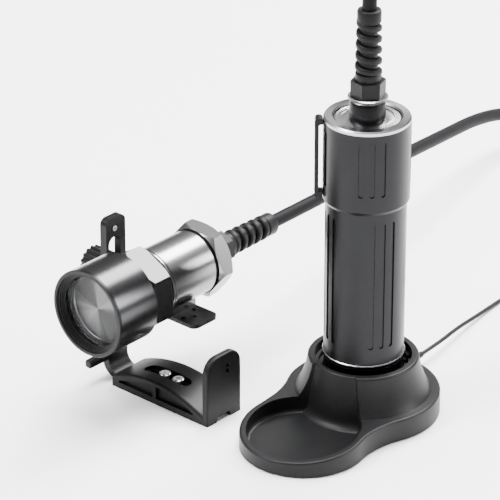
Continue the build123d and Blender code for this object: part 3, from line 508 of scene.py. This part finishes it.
ON_CANISTER = Matrix.Identity(4)      # the canister stands on the origin
rim_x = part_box("lamp_front_ring")[0][0]
TURNED_TO_X = Matrix.Rotation(pi / 2, 4, "Y")
ALONG_LAMP = Matrix.Translation((rim_x, LAMP_AXIS[1], LAMP_AXIS[2])) @ TURNED_TO_X

# %% [markdown]
# The lamp's dark throat is stepped, so that stray light dies in it. The reflector behind
# the window is a shallow cone with a rolled rim, and the reflection painted into its colour does
# the rest.

# %% The lamp's throat and reflector
lathe("lamp_throat", [(28.8, 0.6), (29.2, 0.6), (29.2, 6.0), (25.5, 6.0), (25.5, 5.0),
                      (26.3, 4.8), (26.4, 4.0), (27.0, 3.9), (27.1, 3.0), (27.8, 2.8),
                      (27.9, 1.8), (28.5, 1.6)],
      ALONG_LAMP, "lamp_head", "liner_black", ("lens_collar",))
lathe("lamp_reflector", [(0.0, 11.0), (1.4, 11.1), (22.6, 12.8), (23.6, 12.7), (24.4, 12.1),
                         (27.0, 12.0), (27.2, 12.9), (26.2, 13.9), (24.6, 14.6), (0.0, 14.0)],
      ALONG_LAMP, "lamp_head", "reflector_silver", ("reflector",))

# %% [markdown]
# ## The cable port on the lid
# The lid carries a polished flange with a stepped face, a dark neck, and a bright lip that
# the gland is tightened against. Three lathe pieces stand for the port's one node.

# %% The cable port
lathe("port_flange", [(6.0, 219.4), (22.4, 219.4), (22.4, 224.3), (18.3, 225.0), (17.9, 224.3),
                      (17.4, 224.5), (12.4, 224.5), (12.4, 224.0), (6.0, 224.0)],
      ON_CANISTER, "torch", "polished_metal", ("cable_port",))
lathe("port_neck", [(6.0, 224.0), (12.4, 224.0), (12.4, 235.8), (12.0, 236.6), (11.4, 237.0),
                    (11.4, 237.8), (6.0, 237.8)],
      ON_CANISTER, "torch", "canister_grey")
lathe("port_lip", [(6.0, 237.8), (11.4, 237.8), (12.2, 238.2), (13.6, 238.5), (13.9, 239.2),
                   (13.6, 240.2), (12.8, 240.8), (6.0, 240.8)],
      ON_CANISTER, "torch", "polished_metal")

# %% [markdown]
# ## Helical bend reliefs
# Where each end of the umbilical leaves its gland, a rubber sleeve with a thick helical fin
# keeps it from kinking. The fin follows a rule, so Geometry Nodes make it: a rounded
# rectangle is swept along a spiral. The tree has named inputs for its sizes. One tree serves
# both ends of the cable, because the place of each is put in its mesh afterwards. The sleeve
# inside the fin, with the collar at its end, is turned on the lathe.


# %% How a tree starts and ends
def start_tree(name, sizes):
    """A new geometry tree, and its inputs as Wires: one for each size and one for the finish."""
    tree = bpy.data.node_groups.new(name, "GeometryNodeTree")
    tree.interface.new_socket("Geometry", in_out="OUTPUT", socket_type="NodeSocketGeometry")
    for label, value in sizes.items():
        size = tree.interface.new_socket(label, in_out="INPUT", socket_type="NodeSocketFloat")
        size.default_value = value
    tree.interface.new_socket("Finish", in_out="INPUT", socket_type="NodeSocketMaterial")
    given = tree.nodes.new("NodeGroupInput")
    return {label: Wire(tree, given.outputs[label]) for label in [*sizes, "Finish"]}


def end_tree(shape, finish):
    """Makes a shape plain geometry with its finish, and gives its tree back."""
    whole = shape.node("GeometryNodeRealizeInstances", None, {"Geometry": shape})
    done = whole.node("GeometryNodeSetMaterial", None, {"Geometry": whole, "Material": finish})
    done.node("NodeGroupOutput", None, {0: done}, out=None)
    print(shape.tree.name, "has", len(shape.tree.nodes), "nodes")
    return shape.tree


# %% The tree of a bend relief
STEPS_PER_TURN = 40
CORNER_STEPS = 5


def relief_tree():
    """A helical fin that stands on the XY plane and climbs along Z."""
    given = start_tree("bend_relief", {
        "Turns": 5.0, "Pitch": 7.9 * MM, "Start Radius": 7.4 * MM, "End Radius": 6.6 * MM,
        "Fin Wide": 4.0 * MM, "Fin Thick": 4.6 * MM, "Fin Corner": 1.6 * MM})
    rise = given["Turns"] * given["Pitch"]
    spiral = rise.node("GeometryNodeCurveSpiral", None,
                       {"Resolution": STEPS_PER_TURN, "Rotations": given["Turns"],
                        "Start Radius": given["Start Radius"],
                        "End Radius": given["End Radius"], "Height": rise})
    upright = spiral.node("GeometryNodeSetCurveNormal", {"mode": "Z_UP"}, {"Curve": spiral})
    section = rise.node("GeometryNodeCurvePrimitiveQuadrilateral", None,
                        {"Width": given["Fin Wide"], "Height": given["Fin Thick"]})
    rounded = section.node("GeometryNodeFilletCurve", {"mode": "POLY"},
                           {"Curve": section, "Radius": given["Fin Corner"],
                            "Count": CORNER_STEPS})
    fin = upright.node("GeometryNodeCurveToMesh", None,
                       {"Curve": upright, "Profile Curve": rounded, "Fill Caps": True})
    return end_tree(fin, given["Finish"])


# %% A tree's result as a piece
def grown(name, tree, place, body, slot_name):
    """Runs a tree once, keeps what it makes as a plain mesh, and puts its place in the mesh."""
    host = link(bpy.data.objects.new(name + "_host", bpy.data.meshes.new(name + "_host")))
    modifier = host.modifiers.new("tree", "NODES")
    modifier.node_group = tree
    for item in tree.interface.items_tree:
        if item.in_out == "INPUT" and item.name == "Finish":
            modifier[item.identifier] = FINISHES[slot_name]
    graph = bpy.context.evaluated_depsgraph_get()
    mesh = bpy.data.meshes.new_from_object(host.evaluated_get(graph))
    bpy.data.objects.remove(host)
    work = bmesh.new()
    work.from_mesh(mesh)
    bmesh.ops.remove_doubles(work, verts=work.verts, dist=SAME_POINT)
    bmesh.ops.recalc_face_normals(work, faces=work.faces)
    bpy.data.meshes.remove(mesh)
    return settle(name, work, place, body, slot_name)


# %% The two bend reliefs
RELIEF_START = 14.6                   # from the face that the gland is screwed against
FIN_START = RELIEF_START + 1.4
RELIEF_LONG = 62.0
helix = relief_tree()
SLEEVE = [(5.05, RELIEF_START), (9.0, RELIEF_START), (8.9, RELIEF_START + 1.6),
          (6.6, RELIEF_START + 2.4), (6.0, 50.0), (6.2, 52.4), (7.7, 52.8), (8.2, 53.6),
          (8.3, 60.6), (7.9, 61.6), (7.2, RELIEF_LONG), (5.05, RELIEF_LONG)]
canister_gland_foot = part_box("canister_gland")[0][2]
lamp_gland_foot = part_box("lamp_gland")[0][0]
ON_GLAND = Matrix.Translation((0, 0, canister_gland_foot))
BEHIND_LAMP = Matrix.Translation((lamp_gland_foot, LAMP_AXIS[1], LAMP_AXIS[2])) @ TURNED_TO_X
for end, place in (("canister", ON_GLAND), ("lamp", BEHIND_LAMP)):
    lathe(end + "_relief_sleeve", SLEEVE, place, "torch", "relief_grey",
          (end + "_bend_relief",))
    lift = Matrix.Translation((0, 0, FIN_START * MM))
    grown(end + "_relief_fin", helix, place @ lift, "torch", "relief_grey")

# %% [markdown]
# ## The knurled knob
# The knob that clamps the lamp's height has coarse ribs to grip in gloves. Sixteen points
# on a circle each take one rounded rib, and a lathe makes the body they stand on.


# %% The tree of the knob's ribs
RIBS = 16
RIB_SIDES = 16


def rib_tree(sizes):
    """Ribs that stand upright in a ring round Z, each with its middle on the XY plane."""
    given = start_tree("knob_ribs", sizes)
    ring = given["Ring Radius"].node("GeometryNodeMeshCircle", None,
                                     {"Vertices": RIBS, "Radius": given["Ring Radius"]})
    rib = given["Rib Radius"].node("GeometryNodeMeshCylinder", None,
                                   {"Vertices": RIB_SIDES, "Radius": given["Rib Radius"],
                                    "Depth": given["Rib Long"]})
    spread = ring.node("GeometryNodeInstanceOnPoints", None, {"Points": ring, "Instance": rib})
    return end_tree(spread, given["Finish"])


# %% The knob
knob_low, knob_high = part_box("height_knob")
KNOB_LONG = (knob_high[1] - knob_low[1]) / MM
knob_middle = ((knob_low[0] + knob_high[0]) / 2, knob_low[1], (knob_low[2] + knob_high[2]) / 2)
ON_KNOB = Matrix.Translation(knob_middle) @ Matrix.Rotation(-pi / 2, 4, "X")
lathe("knob_body", [(4.2, 0), (10.4, 0), (11.0, 0.6), (11.0, KNOB_LONG - 1.2),
                    (10.0, KNOB_LONG), (7.2, KNOB_LONG), (6.4, KNOB_LONG - 0.8),
                    (0, KNOB_LONG - 0.8), (0, KNOB_LONG - 2.2), (4.2, KNOB_LONG - 2.2)],
      ON_KNOB, "height_knob", "mount_black", ("height_knob",))
ribs = rib_tree({"Ring Radius": 10.7 * MM, "Rib Radius": 1.5 * MM,
                 "Rib Long": (KNOB_LONG - 1.8) * MM})
HALF_UP = Matrix.Translation((0, 0, KNOB_LONG / 2 * MM))
grown("knob_ribs", ribs, ON_KNOB @ HALF_UP, "height_knob", "mount_black")

# %% [markdown]
# ## Grip pips on the cross plate
# The finger tab of the cross plate has three low pips that a gloved finger can feel.

# %% The pips
PIPS = ((-61.5, 103.0), (-69.0, 107.5), (-54.5, 110.5))
PLATE_THICK = 3.0                     # the plate's box starts at its underside
tab_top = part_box("cross_plate")[0][2] + PLATE_THICK * MM
for number, (x, y) in enumerate(PIPS, 1):
    lathe(f"tab_pip_{number}", [(0, -0.4), (1.7, -0.4), (1.7, 0.3), (1.4, 0.75), (0.8, 1.0),
                                (0, 1.05)],
          Matrix.Translation((x * MM, y * MM, tab_top)), "torch", "mount_black")

# %% [markdown]
# ## Floor and light
# A pale floor and four large soft lamps: one high on the left and one low on the right for
# the two sides of the canister, one behind for the broad highlight along the lamp head, and
# one overhead for the floor. The world is a plain grey that is darker low down.

# %% Floor, lamps and world
FLOOR_WIDE = 14.0
floor_mesh = bpy.data.meshes.new("floor")
half = FLOOR_WIDE / 2
floor_mesh.from_pydata([(-half, -half, 0), (half, -half, 0), (half, half, 0), (-half, half, 0)],
                       [], [(0, 1, 2, 3)])
floor = link(bpy.data.objects.new("floor", floor_mesh))
floor_finish, floor_shader, floor_coords = start_finish("floor_paper")
paper = floor_coords.noise(3.0, 2.0)
end_finish(floor_shader, floor_coords, paper.tint((0.86, 0.86, 0.86), (0.90, 0.90, 0.90)),
           0.7 + 0.1 * paper, paper, 0.0001)
floor_mesh.materials.append(floor_finish)


def soft_lamp(name, at, aim, size, watts):
    """A square lamp of that size in metres, turned towards a point."""
    data = bpy.data.lights.new(name, "AREA")
    data.shape = "SQUARE"
    data.size = size
    data.energy = watts
    lamp = link(bpy.data.objects.new(name, data))
    lamp.location = at
    lamp.rotation_euler = (Vector(aim) - Vector(at)).to_track_quat("-Z", "Y").to_euler()


MIDDLE = (-0.03, 0.06, 0.12)
soft_lamp("key", (-1.5, 0.9, 1.9), MIDDLE, 1.0, 110.0)
soft_lamp("side", (1.2, -1.7, 1.0), MIDDLE, 0.9, 60.0)
soft_lamp("back", (1.6, 0.3, 1.9), MIDDLE, 1.1, 150.0)
soft_lamp("top", (0.3, 0.2, 2.6), MIDDLE, 1.6, 200.0)

SKY = [(0.0, 0.25), (0.9, 1.1), (0.35, 0.40)]   # how far up a direction points, and its grey

world = bpy.data.worlds.new("studio")
world.use_nodes = True
bpy.context.scene.world = world
sky = world.node_tree
direction = Wire(sky, sky.nodes.new("ShaderNodeTexCoord").outputs["Generated"])
shade = direction.node("ShaderNodeValToRGB", {"stops": SKY}, {0: direction.part(2)})
sky.links.new(shade.socket, sky.nodes["Background"].inputs["Color"])
sky.nodes["Background"].inputs["Strength"].default_value = 1.0
